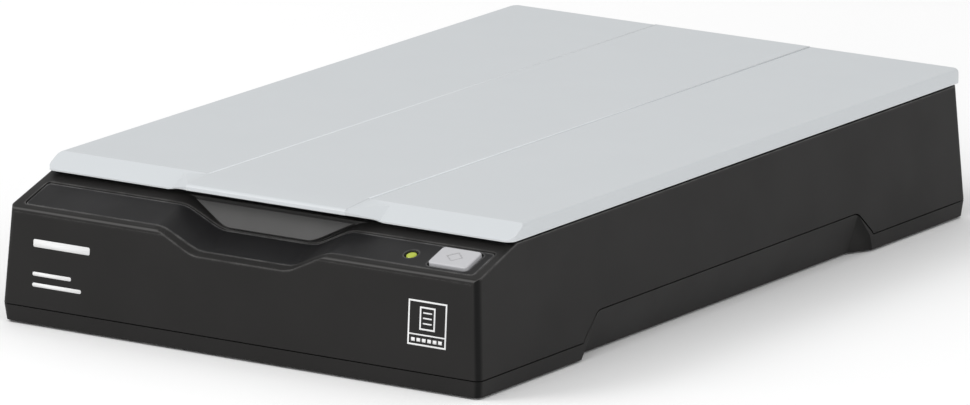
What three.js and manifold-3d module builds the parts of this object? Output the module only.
// A compact flatbed scanner: a two-part case with a glass bed, a sensor carriage driven by a belt,
// a sprung scan button and a hinged lid whose hinge posts also slide up.
// Millimetres. +X is to the right of somebody facing the scanner, -Y is its front and +Z is up.
// The origin is at the centre of the footprint, at the height of the feet's underside.

import * as THREE from 'three';
import { ConvexGeometry } from 'three/addons/geometries/ConvexGeometry.js';
import { mergeVertices } from 'three/addons/utils/BufferGeometryUtils.js';
import Module from 'manifold-3d';

const wasm = await Module();
wasm.setup();

// ---- Driving dimensions ----

// Clearance between pieces that touch on the real object.
const GAP = 0.3;

// Case outline at its widest level, where the two halves meet.
const HALF_WIDTH = 72.5;
const HALF_LENGTH = 117;
const CORNER = 2;
const WALL = 2;

// Levels above the feet's underside.
const CASE_BOTTOM = 0.6;
const FLOOR_TOP = CASE_BOTTOM + WALL;
const PARTING = 4.9;
const RIM = 35.9;
const CEILING = RIM - WALL;
const LID_BOTTOM = 36.4;
const LID_TOP = 40.25;
const BAND_TOP = 40.4;

// How far the walls lean in, per millimetre of height, above and below the parting line.
const DRAFT_UP = 0.063;
const DRAFT_DOWN = -0.109;

// The sloping control strip along the front.
const SLOPE_FOOT_Y = -115.4;
const SLOPE_FOOT_Z = 29.8;
const SLOPE_ANGLE = THREE.MathUtils.degToRad(18.33);
const SLOPE_EDGE_RADIUS = 1;
const SLOPE_WALL = 3.2;

// The finger notch pressed into the middle of the slope, and the light insert at its back.
const NOTCH_DEPTH = 4.7;
const NOTCH_FLOOR_HALF = 14.5;
const NOTCH_TOP_HALF = 25;
const GRIP_FOOT_Y = -103.2;
const GRIP_FOOT_Z = 29.4;
const GRIP_LEAN = THREE.MathUtils.degToRad(27.3);
const GRIP_THICKNESS = 1.2;
const GRIP_LOW = 0.4;
const GRIP_HIGH = 6.5;
const GRIP_FOOT_HALF = 13.4;
const GRIP_TOP_HALF = 23.9;

// Scooped hand grips low on both sides.
const SCOOP_TOP = 11.8;
const SCOOP_HALF_TOP = 62.3;
const SCOOP_HALF_FOOT = 70;
const SCOOP_FOOT_X = 68.4;
const SCOOP_CORNER = 1.6;

// Operator panel, its button and its light, in the slope's own directions.
const PANEL_HALF = 67.8;
const PANEL_LOW = 2.75;
const PANEL_HIGH = 13.55;
const PANEL_SINK = 0.25;
const PANEL_THICKNESS = 0.8;
const BUTTON_X = 59.1;
const BUTTON_S = 8.3;
const BUTTON_WIDTH = 11.6;
const BUTTON_DEPTH = 8;
const BUTTON_PROUD = 0.6;
const BUTTON_MOAT = 0.45;
const LED_X = 46.35;
const LED_S = 7.8;
const LED_RADIUS = 1.4;
const LED_MOAT = 0.5;
const LED_TOP = -0.7;

// Glass bed: the hole that the sensor looks through and the pocket that the glass lies in.
const WINDOW_HALF_X = 56;
const WINDOW_FRONT = -79;
const WINDOW_REAR = 83;
const LEDGE = 3.5;
const GLASS_TOP = 35.6;
const GLASS_THICKNESS = 2;
const LEDGE_TOP = 33;
const LEDGE_BOTTOM = 31.6;

// Sensor carriage at its home position, its rod and its belt.
const HOME_Y = 76;
const CARRIAGE_HALF_Y = 8;
const ROD_Z = 11;
const ROD_RADIUS = 3;
const ROD_HALF_LENGTH = 103;
const DRIVE_X = 35.5;
const DRIVE_Y = 92.5;
const IDLER_Y = -98;
const PULLEY_RADIUS = 4.7;
const PULLEY_FLANGE = 6.5;
const BELT_INNER = 5;
const BELT_OUTER = 6;
const BELT_LOW = 9.3;
const BELT_HIGH = 12.3;
const MOTOR_X = 50;
const MOTOR_Y = 97;
const MOTOR_RADIUS = 10;
const AXLE_RADIUS = 1.5;

// Lid and its hinge.
const LID_HALF_X = 70.6;
const LID_FRONT = -99.98;
const LID_REAR = 117;
const LID_SKIN = 1.2;
const LID_WALL = 1.5;
const LID_BEVEL_START = -93.7;
const LID_LIP = 0.4;
const BAND_HALF = 24.16;
const TAB_FRONT = -104.4;
const TAB_UNDERSIDE = 38;
const RELIEF_TOP = 36.85;
const RELIEF_HALF = 29.6;
const RELIEF_FOOT_HALF = 32.7;
const HINGE_X = 49;
const HINGE_Y = 115.4;
const HINGE_Z = 37.8;
const KNUCKLE_RADIUS = 1.15;
const KNUCKLE_HALF = 5.5;
const PIN_BORE_RADIUS = 0.8;
const PIN_RADIUS = 0.5;
const POST_HALF_X = 6;
const POST_FRONT = 110.2;
const POST_REAR = 112.2;
const POST_BOTTOM = 12;
const POST_LIFT = 6;

// Feet and case screws, as distances from the centre lines.
const FOOT_X = 56;
const FOOT_Y = 103;
const FOOT_RADIUS = 5;
const SCREW_X = 66;
const SCREW_FRONT_Y = -91;
const SCREW_REAR_Y = 106;
const COUNTERBORE_TOP = 3.2;
const SCREW_BOSS_TOP = 8.6;

// Connectors in the rear wall.
const USB_X = -28;
const DC_X = -12.5;
const DC_Z = 12.8;
const PORT_FACE_Y = 116.1;

// Case screws, feet and boards, as levels and radii.
const SCREW_HOLE_RADIUS = 1.55;
const SCREW_HEAD_RADIUS = 2.4;
const FOOT_TOP = 1.3;
const LIP_TOP = 7.5;
const BOARD_BOTTOM = 6;
const BOARD_TOP = 7.6;
const PANEL_BOARD_TOP = -8.6;
const SWITCH_TOP = -5.4;
const BOARD_POSTS_X = [44, 50.8];
const BOARD_POST_S = 11.6;
const PORT_BOTTOM = 7.9;
const USB_TOP = 18.7;
const USB_HALF = 6;
const DC_NOSE_RADIUS = 3.7;

// Carriage and drive levels.
const TRAY_BOTTOM = 16.5;
const CIS_TOP = 30.8;
const BUSH_RADIUS = 4.2;
const PULLEY_LOW = 8.6;
const PULLEY_HIGH = 13.1;
const GEAR_LEVELS = [13.1, 15.6];
const BRACKET_TOP = 18.5;

const CIS_HALF = 56;
const CIS_BOTTOM = 21.5;
const CIS_WELL = 26;
const CIS_PARTS_BOTTOM = 26.3;
const MOTOR_TOP = 30.8;
const IDLER_TOP = 14.5;

// Plates, blocks and legs inside the case, as limits in X and Y or as places.
const MAIN_BOARD = [[-62, -8], [88, 110]];
const MAIN_BOARD_POSTS = [[-58, 92], [-12, 92], [-58, 106], [-18, 106]];
const CONTROLLER_CHIP = [[-54, -40], [90.5, 104.5]];
const MEMORY_CHIP = [[-19, -9], [91, 98]];
const PANEL_BOARD = [[42, 67], [1.8, 13]];
const HOME_SENSOR = [[11, 21], [86.5, 91.5]];
const REFERENCE_STRIP = [[-50, 50], [WINDOW_REAR - 6.5, WINDOW_REAR - 0.5]];
const MOTOR_PLATE = [[27, 62], [86, 108.2]];
const MOTOR_LEGS = [[60, 88.5], [60, 104.5], [29.5, 106.4]];
const IDLER_FOOT = [[27.5, 43.5], [-106, -90]];
const CABLE_X = [-40, -26];
const CABLE_REAR = 86;

// Hinge and lid details.
const POST_FOOT_TOP = 14;
const HINGE_POCKET_HALF = 7;
const LINER_FRONT = -91;
const LINER = [[-66, 66], [LINER_FRONT, 108.5]];
const DOCUMENT_PAD = [[-58, 58], [-81, 85]];

// ---- Solids from three.js geometries ----

// A closed geometry as a solid that can be joined and cut.
function solid(geometry) {
  const plain = geometry.clone();
  plain.deleteAttribute('normal');
  plain.deleteAttribute('uv');
  const merged = mergeVertices(plain, 1e-5);
  return new wasm.Manifold(new wasm.Mesh({
    numProp: 3,
    vertProperties: new Float32Array(merged.attributes.position.array),
    triVerts: new Uint32Array(merged.index.array),
  }));
}

// The surface of a solid as a geometry.
function surface(body) {
  const mesh = body.getMesh();
  const geometry = new THREE.BufferGeometry();
  geometry.setAttribute('position', new THREE.BufferAttribute(mesh.vertProperties, 3));
  geometry.setIndex(new THREE.BufferAttribute(mesh.triVerts, 1));
  return geometry;
}

function join(first, ...others) {
  return others.reduce((whole, other) => whole.add(other), first);
}

function cut(first, ...others) {
  return others.reduce((whole, other) => whole.subtract(other), first);
}

// A box between two limits on each axis.
function block([x0, x1], [y0, y1], [z0, z1]) {
  const box = new THREE.BoxGeometry(x1 - x0, y1 - y0, z1 - z0);
  return box.translate((x0 + x1) / 2, (y0 + y1) / 2, (z0 + z1) / 2);
}

// An open line through corner points, with every corner between its ends cut round.
function softLine(points, radius) {
  const path = new THREE.Path();
  const corners = points.map(([u, v]) => new THREE.Vector2(u, v));
  path.moveTo(corners[0].x, corners[0].y);
  for (let index = 1; index < corners.length - 1; index += 1) {
    const corner = corners[index];
    const before = corners[index - 1].clone().sub(corner).setLength(radius).add(corner);
    const after = corners[index + 1].clone().sub(corner).setLength(radius).add(corner);
    path.lineTo(before.x, before.y);
    path.quadraticCurveTo(corner.x, corner.y, after.x, after.y);
  }
  path.lineTo(corners.at(-1).x, corners.at(-1).y);
  return path.getPoints(4);
}

// An outline drawn through plain corner points.
function outline(points) {
  return new THREE.Shape(points.map(([u, v]) => new THREE.Vector2(u, v)));
}

// A rectangle with round corners.
function roundedRectangle([x0, x1], [y0, y1], radius) {
  const shape = new THREE.Shape();
  const quarter = Math.PI / 2;
  shape.absarc(x1 - radius, y1 - radius, radius, 0, quarter);
  shape.absarc(x0 + radius, y1 - radius, radius, quarter, 2 * quarter);
  shape.absarc(x0 + radius, y0 + radius, radius, 2 * quarter, 3 * quarter);
  shape.absarc(x1 - radius, y0 + radius, radius, 3 * quarter, 4 * quarter);
  return shape;
}

// A plan outline raised between two levels.
function plate(shape, [z0, z1], curveSegments = 4) {
  const raised = new THREE.ExtrudeGeometry(shape, { depth: z1 - z0, bevelEnabled: false, curveSegments });
  return raised.translate(0, 0, z0);
}

// An outline in Y and Z drawn out along X.
function sideProfile(shape, [x0, x1], curveSegments = 4) {
  const drawn = new THREE.ExtrudeGeometry(shape, { depth: x1 - x0, bevelEnabled: false, curveSegments });
  return drawn.rotateX(Math.PI / 2).rotateZ(Math.PI / 2).translate(x0, 0, 0);
}

// An outline in X and Z drawn out along Y.
function frontProfile(shape, [y0, y1], curveSegments = 4) {
  const drawn = new THREE.ExtrudeGeometry(shape, { depth: y1 - y0, bevelEnabled: false, curveSegments });
  return drawn.rotateX(Math.PI / 2).translate(0, y1, 0);
}

function uprightCylinder(x, y, radius, [z0, z1], sides = 20) {
  const cylinder = new THREE.CylinderGeometry(radius, radius, z1 - z0, sides);
  return cylinder.rotateX(Math.PI / 2).translate(x, y, (z0 + z1) / 2);
}

function cylinderAlongX(y, z, radius, [x0, x1], sides = 16) {
  const cylinder = new THREE.CylinderGeometry(radius, radius, x1 - x0, sides);
  return cylinder.rotateZ(Math.PI / 2).translate((x0 + x1) / 2, y, z);
}

function cylinderAlongY(x, z, radius, [y0, y1], sides = 20) {
  const cylinder = new THREE.CylinderGeometry(radius, radius, y1 - y0, sides);
  return cylinder.translate(x, (y0 + y1) / 2, z);
}

// Leans the walls of a plan extrusion inwards by a draft for each millimetre above a level.
function lean(geometry, level, perMillimetre) {
  const position = geometry.attributes.position;
  for (let index = 0; index < position.count; index += 1) {
    const inset = (position.getZ(index) - level) * perMillimetre;
    const x = position.getX(index);
    const y = position.getY(index);
    position.setX(index, x - Math.sign(x) * inset);
    position.setY(index, y - Math.sign(y) * inset);
  }
  return geometry;
}

// Leans a geometry made in the slope's directions so that its walls stand upright on the case.
function upright(geometry) {
  const position = geometry.attributes.position;
  for (let index = 0; index < position.count; index += 1) {
    const shift = position.getZ(index) * Math.tan(SLOPE_ANGLE);
    position.setY(index, position.getY(index) + shift);
  }
  return geometry;
}

// Turns a geometry made in the slope's directions (across, up the slope, out of it) into place.
function onSlope(geometry) {
  return geometry.rotateX(SLOPE_ANGLE).translate(0, SLOPE_FOOT_Y, SLOPE_FOOT_Z);
}

function caseOutline(inset) {
  const x = HALF_WIDTH - inset;
  const y = HALF_LENGTH - inset;
  return roundedRectangle([-x, x], [-y, y], Math.max(CORNER - inset, 0.5));
}

function slopeHeight(y) {
  return SLOPE_FOOT_Z + (y - SLOPE_FOOT_Y) * Math.tan(SLOPE_ANGLE);
}

// ---- Case ----

// The line of the slope's surface across the case, with its dip through the finger notch.
// `lift` moves the line out of the surface and `half` is its reach to each side.
function notchLine(lift, half) {
  const soft = 2.2;
  const fall = NOTCH_DEPTH / (NOTCH_TOP_HALF - NOTCH_FLOOR_HALF);
  const floor = lift - NOTCH_DEPTH;
  const upper = [
    [NOTCH_TOP_HALF + soft, lift],
    [NOTCH_TOP_HALF, lift],
    [NOTCH_TOP_HALF - soft, lift - soft * fall],
  ];
  const lower = [
    [NOTCH_FLOOR_HALF + soft, floor + soft * fall],
    [NOTCH_FLOOR_HALF, floor],
    [NOTCH_FLOOR_HALF - soft, floor],
  ];
  const path = new THREE.Path();
  path.moveTo(-half, lift);
  for (const [start, corner, end] of [upper, lower]) {
    path.lineTo(-start[0], start[1]);
    path.quadraticCurveTo(-corner[0], corner[1], -end[0], end[1]);
  }
  for (const [end, corner, start] of [lower, upper]) {
    path.lineTo(start[0], start[1]);
    path.quadraticCurveTo(corner[0], corner[1], end[0], end[1]);
  }
  path.lineTo(half, lift);
  return path.getPoints(3);
}

// Everything above the notch line, drawn out along the slope.
function aboveNotchLine(lift, half) {
  const ceiling = 9;
  const points = notchLine(lift, half);
  points.push(new THREE.Vector2(half, ceiling), new THREE.Vector2(-half, ceiling));
  return solid(frontProfile(new THREE.Shape(points), [-10, 30]));
}

// What the notch takes out of the case, as far back as the seat of the light insert.
function notchCutter() {
  const half = NOTCH_TOP_HALF + 2.4;
  const prism = solid(onSlope(surface(aboveNotchLine(0, half))));
  const seat = GRIP_THICKNESS + GAP;
  const reach = 20;
  const backAt = (along) => [
    GRIP_FOOT_Y + seat * Math.cos(GRIP_LEAN) + along * Math.sin(GRIP_LEAN),
    GRIP_FOOT_Z - seat * Math.sin(GRIP_LEAN) + along * Math.cos(GRIP_LEAN),
  ];
  const keep = outline([[-140, -10], [-140, 80], backAt(reach), backAt(-reach)]);
  return prism.intersect(solid(sideProfile(keep, [-40, 40])));
}

// The light insert's outline in its own plane, with round lower corners, grown all round by `grow`.
function gripOutline(grow) {
  const footHalf = GRIP_FOOT_HALF + grow / 2;
  const low = GRIP_LOW - grow;
  const spread = 1.8;
  const topHalf = GRIP_TOP_HALF + spread * grow;
  const high = GRIP_HIGH + grow;
  const round = 0.25;
  const run = 1.5;
  const sideX = footHalf + round * (topHalf - footHalf);
  const sideV = low + round * (high - low);
  const shape = new THREE.Shape();
  shape.moveTo(-topHalf, high);
  shape.lineTo(-sideX, sideV);
  shape.quadraticCurveTo(-footHalf, low, -footHalf + run, low);
  shape.lineTo(footHalf - run, low);
  shape.quadraticCurveTo(footHalf, low, sideX, sideV);
  shape.lineTo(topHalf, high);
  return shape;
}

// The pocket that the light insert lies in.
function gripSeat() {
  const pocket = plate(gripOutline(GAP), [-GRIP_THICKNESS - GAP, 1]);
  return solid(pocket.rotateX(Math.PI / 2 - GRIP_LEAN).translate(0, GRIP_FOOT_Y, GRIP_FOOT_Z));
}

// Everything above the sloping strip, with the round edge where the slope meets the front face.
function slopeCutter() {
  const frontY = -HALF_LENGTH + (SLOPE_FOOT_Z - PARTING) * DRAFT_UP;
  const shape = new THREE.Shape();
  shape.moveTo(frontY - 15, SLOPE_FOOT_Z - SLOPE_EDGE_RADIUS);
  shape.lineTo(frontY, SLOPE_FOOT_Z - SLOPE_EDGE_RADIUS);
  shape.quadraticCurveTo(
    frontY,
    slopeHeight(frontY),
    frontY + SLOPE_EDGE_RADIUS,
    slopeHeight(frontY + SLOPE_EDGE_RADIUS),
  );
  shape.lineTo(-80, slopeHeight(-80));
  shape.lineTo(-80, 60);
  shape.lineTo(frontY - 15, 60);
  return solid(sideProfile(shape, [-90, 90]));
}

// The room inside the upper case, which stays clear of the slope and of the notch.
function upperCavity() {
  const room = solid(lean(plate(caseOutline(WALL), [PARTING, CEILING], 2), PARTING, DRAFT_UP));
  const drop = SLOPE_WALL / Math.cos(SLOPE_ANGLE);
  const slopeWall = outline([
    [-130, slopeHeight(-130) - drop],
    [-80, slopeHeight(-80) - drop],
    [-80, 60],
    [-130, 60],
  ]);
  const notchFloor = block([-29, 29], [-130, -96.5], [20, 60]);
  return cut(room, solid(sideProfile(slopeWall, [-90, 90])), solid(notchFloor));
}

// The arch over the hand grips, where the upper case's side walls are raised.
function scoopArch(clearance) {
  const foot = SCOOP_HALF_FOOT + clearance;
  const top = SCOOP_HALF_TOP + clearance;
  const line = softLine([
    [-foot, 0],
    [-foot, PARTING + clearance],
    [-top, SCOOP_TOP + clearance],
    [top, SCOOP_TOP + clearance],
    [foot, PARTING + clearance],
    [foot, 0],
  ], SCOOP_CORNER);
  return solid(sideProfile(new THREE.Shape(line), [-90, 90]));
}

function bedLimits(grow) {
  return [
    [-WINDOW_HALF_X - grow, WINDOW_HALF_X + grow],
    [WINDOW_FRONT - grow, WINDOW_REAR + grow],
  ];
}

// The ledge that carries the glass, the pocket for the glass and the hole under it.
function addGlassBed(body) {
  const frame = block(...bedLimits(LEDGE + WALL), [LEDGE_BOTTOM, CEILING + 1]);
  const pocket = block(...bedLimits(LEDGE), [LEDGE_TOP, RIM + 5]);
  const hole = block(...bedLimits(0), [0, RIM + 5]);
  return cut(join(body, solid(frame)), solid(pocket), solid(hole));
}

// Guides that the two hinge posts slide in; their lower ends stop the posts' feet.
function addHingeSleeves(body) {
  const wall = 1.5;
  const half = POST_HALF_X + GAP;
  const sleeveBottom = POST_FOOT_TOP + POST_LIFT + GAP;
  let result = body;
  for (const side of [-1, 1]) {
    const x = side * HINGE_X;
    const sleeve = block(
      [x - half - wall, x + half + wall],
      [POST_FRONT - GAP - wall, POST_REAR + WALL],
      [sleeveBottom, CEILING + 1],
    );
    const slot = block([x - half, x + half], [POST_FRONT - GAP, POST_REAR + GAP], [0, RIM + 5]);
    result = cut(join(result, solid(sleeve)), solid(slot));
  }
  return result;
}

function screwPlaces() {
  return [
    ['front_left', -SCREW_X, SCREW_FRONT_Y],
    ['front_right', SCREW_X, SCREW_FRONT_Y],
    ['rear_left', -SCREW_X, SCREW_REAR_Y],
    ['rear_right', SCREW_X, SCREW_REAR_Y],
  ];
}

// Columns that the case screws bite into.
function addScrewColumns(body) {
  let result = body;
  for (const [, x, y] of screwPlaces()) {
    const column = solid(uprightCylinder(x, y, 3, [SCREW_BOSS_TOP + GAP, CEILING + 1]));
    const pilot = solid(uprightCylinder(x, y, SCREW_HOLE_RADIUS, [0, 18], 16));
    result = cut(join(result, column), pilot);
  }
  return result;
}

// The seat of the operator panel on the slope, with the holes for the button and the light,
// and two posts that carry the panel's circuit board.
function addPanelSeat(body) {
  const seatDepth = PANEL_SINK + PANEL_THICKNESS + GAP;
  const footprint = solid(upright(plate(panelOutline(GAP), [-20, 20], 3)));
  const seat = aboveNotchLine(-seatDepth, 80).intersect(footprint);
  const buttonHole = plate(buttonOutline(GAP), [-12, 5], 3);
  const ledHole = uprightCylinder(LED_X, LED_S, LED_RADIUS + GAP, [-12, 5], 16);
  let result = body;
  for (const x of BOARD_POSTS_X) {
    const post = uprightCylinder(x, BOARD_POST_S, 1.2, [PANEL_BOARD_TOP + GAP, -SLOPE_WALL + 1], 12);
    result = join(result, solid(onSlope(post)));
  }
  for (const cutter of [surface(seat), buttonHole, ledHole]) {
    result = cut(result, solid(onSlope(cutter)));
  }
  return result;
}

function addPortHoles(body) {
  const usb = block(
    [USB_X - USB_HALF - GAP, USB_X + USB_HALF + GAP],
    [HALF_LENGTH - 5, HALF_LENGTH + 5],
    [PORT_BOTTOM - GAP, USB_TOP + GAP],
  );
  const power = cylinderAlongY(DC_X, DC_Z, DC_NOSE_RADIUS + GAP, [HALF_LENGTH - 5, HALF_LENGTH + 5]);
  return cut(body, solid(usb), solid(power));
}

function upperCase() {
  const shell = lean(plate(caseOutline(0), [PARTING + GAP / 2, RIM]), PARTING, DRAFT_UP);
  let body = cut(solid(shell), slopeCutter(), upperCavity(), notchCutter(), gripSeat(), scoopArch(GAP / 2));
  body = addGlassBed(body);
  body = addHingeSleeves(body);
  body = addScrewColumns(body);
  body = addPanelSeat(body);
  body = addPortHoles(body);
  return surface(body);
}

// Outer face of the leaning wall inside a hand grip.
function scoopWallX(z) {
  const topX = HALF_WIDTH - (SCOOP_TOP - PARTING) * DRAFT_UP;
  return SCOOP_FOOT_X + (topX - SCOOP_FOOT_X) * (z - CASE_BOTTOM) / (SCOOP_TOP - CASE_BOTTOM);
}

// The space scooped out of the lower case for a hand, with a ramp at each end.
function scoopCutter(side) {
  const footHalf = 63;
  const outerX = 76;
  const rampRun = (SCOOP_HALF_FOOT - footHalf) / (scoopWallX(SCOOP_TOP) - SCOOP_FOOT_X);
  const rampRise = (SCOOP_HALF_FOOT - SCOOP_HALF_TOP) / (SCOOP_TOP - CASE_BOTTOM);
  const corners = [];
  for (const z of [CASE_BOTTOM - 1, SCOOP_TOP]) {
    for (const x of [scoopWallX(z), outerX]) {
      const y = footHalf + rampRun * (x - SCOOP_FOOT_X) - rampRise * (z - CASE_BOTTOM);
      corners.push(new THREE.Vector3(side * x, y, z));
      corners.push(new THREE.Vector3(side * x, -y, z));
    }
  }
  return solid(new ConvexGeometry(corners));
}

// The room inside the lower case, which stays clear of the leaning grip walls.
function lowerCavity() {
  const rim = 3.5;
  const wall = 2.2;
  const keptX = scoopWallX(FLOOR_TOP) - wall;
  const room = solid(plate(caseOutline(rim), [FLOOR_TOP, 30], 2));
  const sides = [-1, 1].map((side) => {
    const limits = [side * keptX, side * 90].sort((a, b) => a - b);
    return solid(block(limits, [-73, 73], [0, 40]));
  });
  const behindGrips = [-1, 1].map((side) => {
    const shape = outline([
      [side * 60, FLOOR_TOP],
      [side * keptX, FLOOR_TOP],
      [side * (scoopWallX(SCOOP_TOP) - wall), SCOOP_TOP],
      [side * (scoopWallX(SCOOP_TOP) - wall), SCOOP_TOP + 2],
      [side * 60, SCOOP_TOP + 2],
    ]);
    return solid(frontProfile(shape, [-61, 61]));
  });
  return join(cut(room, ...sides), ...behindGrips);
}

function lowerCase() {
  const tub = lean(plate(caseOutline(0), [CASE_BOTTOM, PARTING - GAP / 2]), PARTING, DRAFT_DOWN);
  const lip = lean(plate(caseOutline(WALL + GAP), [FLOOR_TOP, LIP_TOP], 2), PARTING, DRAFT_UP);
  const gripLevels = [PARTING - GAP / 2, SCOOP_TOP - GAP / 2];
  const gripWalls = solid(lean(plate(caseOutline(0), gripLevels), PARTING, DRAFT_UP))
    .intersect(scoopArch(-GAP / 2))
    .subtract(solid(block([-60, 60], [-90, 90], [0, 40])));
  let body = cut(join(solid(tub), solid(lip), gripWalls), lowerCavity(), scoopCutter(-1), scoopCutter(1));
  for (const [x, y] of MAIN_BOARD_POSTS) {
    body = join(body, solid(uprightCylinder(x, y, 2, [FLOOR_TOP - 1, BOARD_BOTTOM - GAP], 12)));
  }
  for (const [, x, y] of screwPlaces()) {
    const boss = solid(uprightCylinder(x, y, 4, [FLOOR_TOP - 1, SCREW_BOSS_TOP]));
    const hole = solid(uprightCylinder(x, y, SCREW_HOLE_RADIUS, [0, 20], 16));
    const counterbore = solid(uprightCylinder(x, y, SCREW_HEAD_RADIUS + GAP, [0, COUNTERBORE_TOP]));
    body = cut(join(body, boss), hole, counterbore);
  }
  for (const [, x, y] of footPlaces()) {
    body = cut(body, solid(uprightCylinder(x, y, FOOT_RADIUS + GAP, [0, FOOT_TOP + GAP], 24)));
  }
  return surface(body);
}

function footPlaces() {
  return [
    ['front_left', -FOOT_X, -FOOT_Y],
    ['front_right', FOOT_X, -FOOT_Y],
    ['rear_left', -FOOT_X, FOOT_Y],
    ['rear_right', FOOT_X, FOOT_Y],
  ];
}

// A solid of revolution about a vertical line through the origin, from [radius, height] points.
function turned(points, sides) {
  const profile = points.map(([radius, height]) => new THREE.Vector2(radius, height));
  return new THREE.LatheGeometry(profile, sides).rotateX(Math.PI / 2);
}

function rubberFoot() {
  const edge = 0.4;
  return turned([
    [0, 0],
    [FOOT_RADIUS - edge, 0],
    [FOOT_RADIUS, edge],
    [FOOT_RADIUS, FOOT_TOP],
    [0, FOOT_TOP],
  ], 24);
}

function caseScrew() {
  const shank = 1.25;
  return turned([
    [0, 0],
    [SCREW_HEAD_RADIUS - 0.3, 0],
    [SCREW_HEAD_RADIUS, 0.3],
    [SCREW_HEAD_RADIUS, 1.6],
    [shank, 1.6],
    [shank, 13],
    [0, 14],
  ], 16);
}

// ---- Operator panel ----

function panelOutline(grow) {
  return roundedRectangle(
    [-PANEL_HALF - grow, PANEL_HALF + grow],
    [PANEL_LOW - grow, PANEL_HIGH + grow],
    1 + grow,
  );
}

function buttonOutline(grow) {
  return roundedRectangle(
    [BUTTON_X - BUTTON_WIDTH / 2 - grow, BUTTON_X + BUTTON_WIDTH / 2 + grow],
    [BUTTON_S - BUTTON_DEPTH / 2 - grow, BUTTON_S + BUTTON_DEPTH / 2 + grow],
    1 + grow,
  );
}

// A thin plate let into the slope, which dips with it through the notch.
function operatorPanel() {
  const sheet = cut(
    aboveNotchLine(-PANEL_SINK - PANEL_THICKNESS, 80),
    aboveNotchLine(-PANEL_SINK, 85),
  );
  const footprint = solid(upright(plate(panelOutline(0), [-20, 20], 3)));
  const well = solid(plate(buttonOutline(BUTTON_MOAT), [-5, 5], 3));
  const ledHole = solid(uprightCylinder(LED_X, LED_S, LED_RADIUS + LED_MOAT, [-5, 5], 16));
  return surface(cut(sheet.intersect(footprint), well, ledHole));
}

// The cap, its round upper edge and the flange that keeps it in the case.
function scanButton() {
  const edge = 0.5;
  const flange = 1;
  const flangeTop = -SLOPE_WALL - GAP;
  const inner = roundedRectangle(
    [BUTTON_X - BUTTON_WIDTH / 2 + edge, BUTTON_X + BUTTON_WIDTH / 2 - edge],
    [BUTTON_S - BUTTON_DEPTH / 2 + edge, BUTTON_S + BUTTON_DEPTH / 2 - edge],
    0.6,
  );
  const cap = new THREE.ExtrudeGeometry(inner, {
    depth: BUTTON_PROUD - flangeTop - edge,
    bevelThickness: edge,
    bevelSize: edge,
    bevelSegments: 3,
    curveSegments: 3,
  }).translate(0, 0, flangeTop);
  const skirt = plate(buttonOutline(flange), [flangeTop - 0.8, flangeTop], 3);
  return surface(join(solid(cap), solid(skirt)));
}

// ---- Glass bed ----

function glassTape() {
  const outer = solid(block(...bedLimits(LEDGE - 0.5), [LEDGE_TOP + 0.15, LEDGE_TOP + 0.45]));
  return surface(cut(outer, solid(block(...bedLimits(0.5), [0, RIM]))));
}

// ---- Carriage drive ----

// A toothed wheel; the teeth are narrow, so that a pair runs with some play.
function toothedWheel(x, y, teeth, [root, tip], [z0, z1], phase) {
  const pitch = 2 * Math.PI / teeth;
  const shape = [];
  for (let tooth = 0; tooth < teeth; tooth += 1) {
    const middle = phase + tooth * pitch;
    for (const [turn, radius] of [[-0.23, root], [-0.14, tip], [0.14, tip], [0.23, root]]) {
      const angle = middle + turn * pitch;
      shape.push([x + radius * Math.cos(angle), y + radius * Math.sin(angle)]);
    }
  }
  return solid(plate(outline(shape), [z0, z1]));
}

// A belt pulley between two flanges, on a plain bore.
function beltPulley(x, y) {
  const drum = solid(uprightCylinder(x, y, PULLEY_RADIUS, [PULLEY_LOW, PULLEY_HIGH], 24));
  const lowFlange = solid(uprightCylinder(x, y, PULLEY_FLANGE, [PULLEY_LOW, BELT_LOW - GAP], 24));
  const highFlange = solid(uprightCylinder(x, y, PULLEY_FLANGE, [BELT_HIGH + GAP, PULLEY_HIGH], 24));
  return join(drum, lowFlange, highFlange);
}

function axleBore(x, y) {
  return solid(uprightCylinder(x, y, AXLE_RADIUS + GAP, [0, 40], 16));
}

function driveGear() {
  const towardsMotor = Math.atan2(MOTOR_Y - DRIVE_Y, MOTOR_X - DRIVE_X);
  const wheel = toothedWheel(DRIVE_X, DRIVE_Y, 48, [11.6, 12.5], GEAR_LEVELS, towardsMotor);
  return surface(cut(join(beltPulley(DRIVE_X, DRIVE_Y), wheel), axleBore(DRIVE_X, DRIVE_Y)));
}

function idlerPulley() {
  return surface(cut(beltPulley(DRIVE_X, IDLER_Y), axleBore(DRIVE_X, IDLER_Y)));
}

function motorPinion() {
  const teeth = 12;
  const towardsGear = Math.atan2(DRIVE_Y - MOTOR_Y, DRIVE_X - MOTOR_X);
  const phase = towardsGear + Math.PI / teeth;
  const [z0, z1] = GEAR_LEVELS;
  const wheel = toothedWheel(MOTOR_X, MOTOR_Y, teeth, [2.5, 3.4], [z0 - 0.3, z1 + 0.6], phase);
  return surface(join(wheel, solid(uprightCylinder(MOTOR_X, MOTOR_Y, 1, [z0 - 0.3, 24], 12))));
}

function stepperMotor() {
  const can = solid(uprightCylinder(MOTOR_X, MOTOR_Y, MOTOR_RADIUS, [BRACKET_TOP + GAP, MOTOR_TOP], 28));
  const earReach = 14;
  const earHalf = 3.2;
  const boreRadius = 1.3;
  const ears = solid(block(
    [MOTOR_X - earReach, MOTOR_X + earReach],
    [MOTOR_Y - earHalf, MOTOR_Y + earHalf],
    [BRACKET_TOP + GAP, BRACKET_TOP + 1.1],
  ));
  const shaftBore = solid(uprightCylinder(MOTOR_X, MOTOR_Y, boreRadius, [0, 25], 12));
  return surface(cut(join(can, ears), shaftBore));
}

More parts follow.
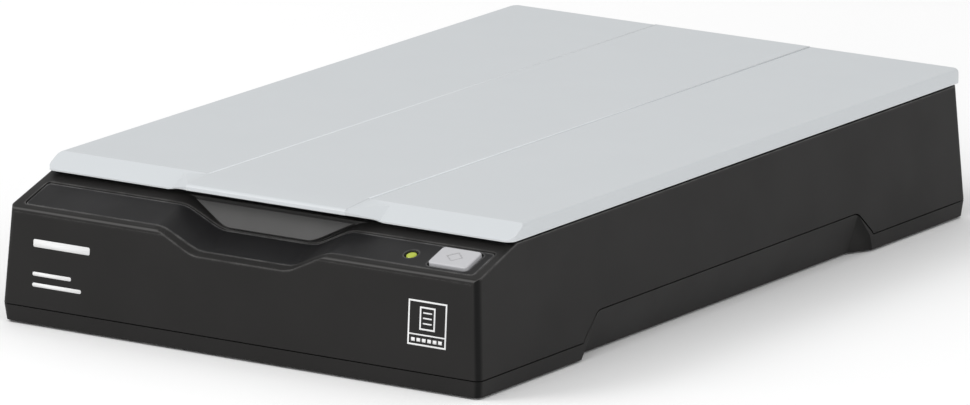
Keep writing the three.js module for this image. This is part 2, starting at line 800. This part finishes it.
// The plate under the motor, its legs and the axle of the drive gear.
function motorBracket() {
  const thickness = 1;
  const legRadius = 1.8;
  const holeRadius = 2;
  const inPlate = BRACKET_TOP - thickness / 2;
  const top = solid(block(...MOTOR_PLATE, [BRACKET_TOP - thickness, BRACKET_TOP]));
  const axle = solid(uprightCylinder(DRIVE_X, DRIVE_Y, AXLE_RADIUS, [PULLEY_LOW - GAP, inPlate], 16));
  const legs = MOTOR_LEGS.map(([x, y]) => (
    solid(uprightCylinder(x, y, legRadius, [FLOOR_TOP + GAP, inPlate], 12))
  ));
  const shaftHole = solid(uprightCylinder(MOTOR_X, MOTOR_Y, holeRadius, [0, 40], 16));
  return surface(cut(join(top, axle, ...legs), shaftHole));
}

function idlerBracket() {
  const thickness = 1;
  const headRadius = 2.6;
  const footLow = FLOOR_TOP + GAP;
  const foot = solid(block(...IDLER_FOOT, [footLow, footLow + thickness]));
  const axleLow = footLow + thickness / 5;
  const axle = solid(uprightCylinder(DRIVE_X, IDLER_Y, AXLE_RADIUS, [axleLow, IDLER_TOP], 16));
  const head = solid(uprightCylinder(DRIVE_X, IDLER_Y, headRadius, [PULLEY_HIGH + GAP, IDLER_TOP], 16));
  return surface(join(foot, axle, head));
}

// One closed loop round both pulleys.
function beltLoop(radius) {
  const path = new THREE.Shape();
  path.absarc(DRIVE_X, DRIVE_Y, radius, 0, Math.PI);
  path.absarc(DRIVE_X, IDLER_Y, radius, Math.PI, 2 * Math.PI);
  return path;
}

function driveBelt() {
  const shape = beltLoop(BELT_OUTER);
  shape.holes.push(beltLoop(BELT_INNER));
  return plate(shape, [BELT_LOW, BELT_HIGH], 12);
}

function rodHolder(y) {
  const body = solid(block([-7, 7], [y - 3, y + 3], [FLOOR_TOP + GAP, 17]));
  return surface(cut(body, solid(cylinderAlongY(0, ROD_Z, ROD_RADIUS + GAP, [y - 5, y + 5]))));
}

function homeSensor() {
  const body = solid(block(...HOME_SENSOR, [FLOOR_TOP + GAP, 12]));
  return surface(cut(body, solid(block([14.5, 17.5], [80, 100], [5, 20]))));
}

// ---- Carriage ----

function acrossCarriage(halfX, [y0, y1], levels) {
  return block([-halfX, halfX], [HOME_Y + y0, HOME_Y + y1], levels);
}

function carriageFrame() {
  const half = CARRIAGE_HALF_Y;
  const tray = solid(acrossCarriage(60, [-half, half], [TRAY_BOTTOM, 28]));
  const inside = solid(acrossCarriage(58.2, [-half + 1.8, half - 1.8], [TRAY_BOTTOM + 2, 40]));
  const slider = solid(acrossCarriage(8, [-half, half], [6.5, TRAY_BOTTOM + 1]));
  const flag = solid(block([15.5, 16.5], [HOME_Y + half - 2, HOME_Y + half + 5.5], [7, TRAY_BOTTOM + 1]));
  const bore = solid(cylinderAlongY(0, ROD_Z, BUSH_RADIUS + GAP, [HOME_Y - 20, HOME_Y + 20], 24));
  return surface(cut(join(cut(tray, inside), slider, flag), bore));
}

function cisHousing() {
  const wall = 1.5;
  const body = solid(acrossCarriage(CIS_HALF, [-5.8, 5.8], [CIS_BOTTOM, CIS_TOP]));
  return surface(cut(body, solid(acrossCarriage(CIS_HALF - wall, [-3.5, 3.5], [CIS_WELL, 40]))));
}

// A short coil spring standing under one end of the sensor.
function cisSpring(x) {
  const turns = 3;
  const low = TRAY_BOTTOM + 2 + GAP + 0.3;
  const high = CIS_BOTTOM - GAP - 0.3;
  const points = [];
  for (let step = 0; step <= turns * 8; step += 1) {
    const angle = step / 8 * 2 * Math.PI;
    const height = low + (high - low) * step / (turns * 8);
    points.push(new THREE.Vector3(x + 2.2 * Math.cos(angle), HOME_Y + 2.2 * Math.sin(angle), height));
  }
  const wire = new THREE.Shape();
  wire.absarc(0, 0, 0.25, 0, 2 * Math.PI);
  return new THREE.ExtrudeGeometry(wire, {
    extrudePath: new THREE.CatmullRomCurve3(points),
    steps: turns * 10,
    curveSegments: 6,
  });
}

function rodBush(y) {
  const bore = ROD_RADIUS + 0.2;
  const length = 3.4;
  const profile = [[bore, 0], [BUSH_RADIUS, 0], [BUSH_RADIUS, length], [bore, length], [bore, 0]];
  const points = profile.map(([radius, along]) => new THREE.Vector2(radius, along));
  return new THREE.LatheGeometry(points, 24).translate(0, y - length / 2, ROD_Z);
}

function beltClamp() {
  const body = solid(block([27.5, 32.5], [HOME_Y - 5, HOME_Y + 2], [7.5, TRAY_BOTTOM - GAP]));
  const strand = DRIVE_X - (BELT_INNER + BELT_OUTER) / 2;
  const slot = solid(block([strand - 0.8, strand + 0.8], [HOME_Y - 9, HOME_Y + 9], [0, BELT_HIGH + GAP]));
  return surface(cut(body, slot));
}

// A flat ribbon that lies along the floor, turns back on itself and runs to the carriage.
function flexCable() {
  const turnY = 1;
  const turnZ = 4.5;
  const inner = 1.2;
  const outer = 1.5;
  const quarter = Math.PI / 2;
  const shape = new THREE.Shape();
  shape.moveTo(CABLE_REAR, turnZ - outer);
  shape.lineTo(turnY, turnZ - outer);
  shape.absarc(turnY, turnZ, outer, -quarter, -3 * quarter, true);
  shape.lineTo(HOME_Y - 9, turnZ + outer);
  shape.lineTo(HOME_Y - 9, turnZ + inner);
  shape.absarc(turnY, turnZ, inner, quarter, 3 * quarter, false);
  shape.lineTo(CABLE_REAR, turnZ - inner);
  return sideProfile(shape, CABLE_X, 6);
}

// ---- Connectors ----

function usbSocket() {
  const body = solid(block([USB_X - USB_HALF, USB_X + USB_HALF], [101, PORT_FACE_Y], [PORT_BOTTOM, USB_TOP]));
  const mouth = solid(block([USB_X - 4.3, USB_X + 4.3], [107.5, 120], [PORT_BOTTOM + 1.5, USB_TOP - 1.5]));
  const tongue = solid(block([USB_X - 2.8, USB_X + 2.8], [107, PORT_FACE_Y - 1], [11.7, 14.9]));
  return surface(join(cut(body, mouth), tongue));
}

function dcInlet() {
  const body = solid(block([DC_X - 4.5, DC_X + 4.5], [103, 112.6], [PORT_BOTTOM, 17.7]));
  const nose = solid(cylinderAlongY(DC_X, DC_Z, DC_NOSE_RADIUS, [112, PORT_FACE_Y]));
  const mouth = solid(cylinderAlongY(DC_X, DC_Z, 3.1, [106, 120]));
  const centrePin = solid(cylinderAlongY(DC_X, DC_Z, 1, [105.5, PORT_FACE_Y - 1.5], 12));
  return surface(join(cut(join(body, nose), mouth), centrePin));
}

// ---- Lid ----

// The flat slab of the lid: round upper edges, a bevelled front and a round lower rear edge.
function lidSlab() {
  const edge = 1.1;
  const shape = roundedRectangle(
    [-LID_HALF_X + edge, LID_HALF_X - edge],
    [LID_FRONT + edge, LID_REAR - edge],
    1.4,
  );
  const height = 12;
  const slab = new THREE.ExtrudeGeometry(shape, {
    depth: height - 2 * edge,
    bevelThickness: edge,
    bevelSize: edge,
    bevelSegments: 3,
    curveSegments: 3,
  }).translate(0, 0, LID_TOP - height + edge);
  const heel = 0.8;
  const bevelRise = (LID_TOP - LID_BOTTOM - LID_LIP) / (LID_BEVEL_START - LID_FRONT);
  const profile = new THREE.Shape();
  profile.moveTo(LID_FRONT, LID_BOTTOM);
  profile.lineTo(LID_FRONT, LID_BOTTOM + LID_LIP);
  profile.lineTo(LID_FRONT + 20, LID_BOTTOM + LID_LIP + 20 * bevelRise);
  profile.lineTo(LID_REAR + 1, LID_TOP + 10);
  profile.lineTo(LID_REAR + 1, LID_BOTTOM + heel);
  profile.lineTo(LID_REAR, LID_BOTTOM + heel);
  profile.quadraticCurveTo(LID_REAR, LID_BOTTOM, LID_REAR - heel, LID_BOTTOM);
  return solid(slab).intersect(solid(sideProfile(profile, [-90, 90])));
}

// The band along the middle of the lid, which runs on over the finger notch as a thin tab.
function lidBand() {
  const shape = outline([
    [TAB_FRONT, TAB_UNDERSIDE + 0.15],
    [TAB_FRONT, BAND_TOP - 1.4],
    [TAB_FRONT + 0.4, BAND_TOP - 0.95],
    [TAB_FRONT + 1, BAND_TOP - 0.7],
    [LID_BEVEL_START, BAND_TOP],
    [LID_REAR - 1.1, BAND_TOP],
    [LID_REAR - 1.1, LID_TOP - 0.6],
    [LID_BEVEL_START + 2, LID_TOP - 0.6],
    [LID_BEVEL_START + 2, TAB_UNDERSIDE],
    [TAB_FRONT + 0.15, TAB_UNDERSIDE],
  ]);
  return solid(sideProfile(shape, [-BAND_HALF, BAND_HALF]));
}

// The flared shoulder that runs from a side of the tab down to the lid's bevelled front.
function tabShoulder(side) {
  const inner = BAND_HALF - 0.1;
  const outer = RELIEF_HALF + 1.9;
  const rearY = LID_BEVEL_START - 0.5;
  const footY = LID_FRONT + 0.1;
  const corners = [
    [inner, TAB_FRONT, TAB_UNDERSIDE + 0.15],
    [inner, TAB_FRONT, BAND_TOP - 1.4],
    [inner, TAB_FRONT + 1, BAND_TOP - 0.75],
    [inner, rearY, TAB_UNDERSIDE],
    [inner, rearY, BAND_TOP - 0.1],
    [outer, footY, RELIEF_TOP],
    [outer, footY, RELIEF_TOP + 0.1],
    [outer, rearY, BAND_TOP - 0.7],
    [outer, rearY, TAB_UNDERSIDE],
  ];
  return solid(new ConvexGeometry(corners.map(([x, y, z]) => new THREE.Vector3(side * x, y, z))));
}

// What the lid's front lip gives up under the tab, so that a finger reaches it.
function tabRelief() {
  const shape = outline([
    [-RELIEF_FOOT_HALF, LID_BOTTOM - 1],
    [RELIEF_FOOT_HALF, LID_BOTTOM - 1],
    [RELIEF_FOOT_HALF, LID_BOTTOM],
    [RELIEF_HALF, RELIEF_TOP],
    [-RELIEF_HALF, RELIEF_TOP],
    [-RELIEF_FOOT_HALF, LID_BOTTOM],
  ]);
  return solid(frontProfile(shape, [TAB_FRONT, LINER_FRONT - 2]));
}

function lidCover() {
  const ceiling = LID_TOP - LID_SKIN;
  const half = LID_HALF_X - LID_WALL;
  const room = solid(block([-half, half], [LINER_FRONT - 1, LID_REAR - LID_WALL], [0, ceiling]));
  let body = cut(join(lidSlab(), lidBand(), tabShoulder(-1), tabShoulder(1)), room, tabRelief());
  for (const side of [-1, 1]) {
    const x = side * HINGE_X;
    const ears = solid(block([x - 10, x + 10], [112.6, LID_REAR - 1], [LID_BOTTOM, ceiling + 0.2]));
    const pocket = solid(block(
      [x - HINGE_POCKET_HALF, x + HINGE_POCKET_HALF],
      [POST_FRONT - 0.7, LID_REAR + 5],
      [0, ceiling + 0.2],
    ));
    const pinBore = solid(cylinderAlongX(HINGE_Y, HINGE_Z, PIN_BORE_RADIUS, [x - 12, x + 12], 12));
    body = cut(join(body, ears), pocket, pinBore);
  }
  return surface(body);
}

// A flat post with a foot at the bottom and, cranked back from its top, the eye of the hinge.
function hingePost(x) {
  const top = HINGE_Z + KNUCKLE_RADIUS;
  const stem = solid(block([x - POST_HALF_X, x + POST_HALF_X], [POST_FRONT, POST_REAR], [POST_BOTTOM, top]));
  const foot = solid(block(
    [x - POST_HALF_X - 1.5, x + POST_HALF_X + 1.5],
    [POST_FRONT - 0.5, POST_REAR + 0.7],
    [POST_BOTTOM, POST_FOOT_TOP],
  ));
  const across = [x - KNUCKLE_HALF, x + KNUCKLE_HALF];
  const arm = solid(block(across, [POST_FRONT, HINGE_Y], [HINGE_Z - KNUCKLE_RADIUS + 0.1, top]));
  const eye = solid(cylinderAlongX(HINGE_Y, HINGE_Z, KNUCKLE_RADIUS, across));
  const bore = solid(cylinderAlongX(HINGE_Y, HINGE_Z, PIN_BORE_RADIUS, [x - 9, x + 9], 12));
  return surface(cut(join(stem, foot, arm, eye), bore));
}

// ---- Assembly ----

const LOOKS = {
  charcoal: { color: 0x333130, roughness: 0.55, metalness: 0 },
  panel: { color: 0x3b3a3c, roughness: 0.5, metalness: 0 },
  silver: { color: 0xcdd2d5, roughness: 0.45, metalness: 0 },
  grey: { color: 0x6b6866, roughness: 0.6, metalness: 0 },
  pale: { color: 0xd0d0d4, roughness: 0.4, metalness: 0 },
  glass: { color: 0xdfe8e6, roughness: 0.05, metalness: 0, transparent: true, opacity: 0.35 },
  white: { color: 0xf2f2ee, roughness: 0.7, metalness: 0 },
  black: { color: 0x141414, roughness: 0.6, metalness: 0 },
  board: { color: 0x1f5b36, roughness: 0.5, metalness: 0 },
  steel: { color: 0xb4b6b8, roughness: 0.3, metalness: 1 },
  nylon: { color: 0xe8e4d6, roughness: 0.5, metalness: 0 },
  lime: { color: 0xbed23c, roughness: 0.3, metalness: 0 },
};

const scanner = new THREE.Group();

function add(name, geometry, look, parent = scanner) {
  const piece = new THREE.Mesh(geometry, new THREE.MeshStandardMaterial(LOOKS[look]));
  piece.name = name;
  parent.add(piece);
  return piece;
}

// Case
add('lower_case', lowerCase(), 'charcoal');
add('upper_case', upperCase(), 'charcoal');
for (const [place, x, y] of footPlaces()) {
  add(`foot_${place}`, rubberFoot(), 'black').position.set(x, y, 0);
}
for (const [place, x, y] of screwPlaces()) {
  add(`case_screw_${place}`, caseScrew(), 'steel').position.set(x, y, COUNTERBORE_TOP - GAP - 1.6);
}

// Pieces on the sloping strip
const slope = new THREE.Group();
slope.position.set(0, SLOPE_FOOT_Y, SLOPE_FOOT_Z);
slope.rotation.x = SLOPE_ANGLE;
scanner.add(slope);
add('operator_panel', operatorPanel(), 'panel', slope);
add('scan_button', scanButton(), 'pale', slope);
add('led_lens', uprightCylinder(LED_X, LED_S, LED_RADIUS, [-4.8, LED_TOP], 16), 'lime', slope);
const ledLevels = [PANEL_BOARD_TOP + GAP, -5.1];
add('status_led', uprightCylinder(LED_X, LED_S, LED_RADIUS, ledLevels, 12), 'lime', slope);
add('panel_board', block(...PANEL_BOARD, [PANEL_BOARD_TOP - 1.2, PANEL_BOARD_TOP]), 'board', slope);
add('tact_switch', block(
  [BUTTON_X - 3, BUTTON_X + 3],
  [BUTTON_S - 3, BUTTON_S + 3],
  [PANEL_BOARD_TOP + GAP, SWITCH_TOP],
), 'black', slope);

// The light insert at the back of the finger notch
const gripFrame = new THREE.Group();
gripFrame.position.set(0, GRIP_FOOT_Y, GRIP_FOOT_Z);
gripFrame.rotation.x = Math.PI / 2 - GRIP_LEAN;
scanner.add(gripFrame);
add('finger_grip', plate(gripOutline(0), [-GRIP_THICKNESS, 0]), 'grey', gripFrame);

// Glass bed
add('glass_tape', glassTape(), 'black');
add('platen_glass', block(...bedLimits(LEDGE - GAP), [GLASS_TOP - GLASS_THICKNESS, GLASS_TOP]), 'glass');
add('reference_strip', block(...REFERENCE_STRIP, [LEDGE_TOP, LEDGE_TOP + 0.3]), 'white');

// Electronics
add('main_board', block(...MAIN_BOARD, [BOARD_BOTTOM, BOARD_TOP]), 'board');
add('controller_chip', block(...CONTROLLER_CHIP, [BOARD_TOP + GAP, BOARD_TOP + 1.9]), 'black');
add('memory_chip', block(...MEMORY_CHIP, [BOARD_TOP + GAP, BOARD_TOP + 1.5]), 'black');
add('usb_socket', usbSocket(), 'steel');
add('dc_inlet', dcInlet(), 'black');
add('home_sensor', homeSensor(), 'black');
add('flex_cable', flexCable(), 'nylon');

// Carriage drive
add('guide_rod', cylinderAlongY(0, ROD_Z, ROD_RADIUS, [-ROD_HALF_LENGTH, ROD_HALF_LENGTH], 24), 'steel');
add('rod_holder_front', rodHolder(-ROD_HALF_LENGTH + 1), 'black');
add('rod_holder_rear', rodHolder(ROD_HALF_LENGTH - 1), 'black');
add('motor_bracket', motorBracket(), 'steel');
add('stepper_motor', stepperMotor(), 'steel');
add('motor_pinion', motorPinion(), 'nylon');
add('drive_gear', driveGear(), 'nylon');
add('idler_bracket', idlerBracket(), 'steel');
add('idler_pulley', idlerPulley(), 'nylon');
add('drive_belt', driveBelt(), 'black');

// Carriage
add('carriage_frame', carriageFrame(), 'black');
add('cis_housing', cisHousing(), 'black');
add('cis_window', acrossCarriage(CIS_HALF - 0.2, [-5.6, 5.6], [CIS_TOP + 0.2, CIS_TOP + 0.5]), 'glass');
add('rod_lens_array', acrossCarriage(CIS_HALF - 2, [0.6, 2.2], [CIS_PARTS_BOTTOM, CIS_TOP - 0.4]), 'nylon');
add('light_guide', acrossCarriage(CIS_HALF - 2, [-3, -1], [CIS_PARTS_BOTTOM, CIS_TOP - 1]), 'pale');
for (const [place, side] of [['left', -1], ['right', 1]]) {
  add(`cis_spring_${place}`, cisSpring(side * 50), 'steel');
  const glide = block(
    [side * 53.5 - 1.5, side * 53.5 + 1.5],
    [HOME_Y - 3, HOME_Y + 3],
    [CIS_TOP + 0.8, GLASS_TOP - GLASS_THICKNESS - GAP],
  );
  add(`glide_${place}`, glide, 'nylon');
}
add('rod_bush_front', rodBush(HOME_Y - 6), 'nylon');
add('rod_bush_rear', rodBush(HOME_Y + 6), 'nylon');
add('belt_clamp', beltClamp(), 'black');

// Lid
add('lid_cover', lidCover(), 'silver');
add('lid_liner', block(...LINER, [37.75, 38.75]), 'charcoal');
add('document_foam', block(...DOCUMENT_PAD, [36.65, 37.45]), 'white');
add('document_sheet', block(...DOCUMENT_PAD, [35.95, 36.35]), 'white');
for (const [place, side] of [['left', -1], ['right', 1]]) {
  const x = side * HINGE_X;
  add(`hinge_post_${place}`, hingePost(x), 'charcoal');
  add(`hinge_pin_${place}`, cylinderAlongX(HINGE_Y, HINGE_Z, PIN_RADIUS, [x - 9.2, x + 9.2], 12), 'steel');
}

export default scanner;
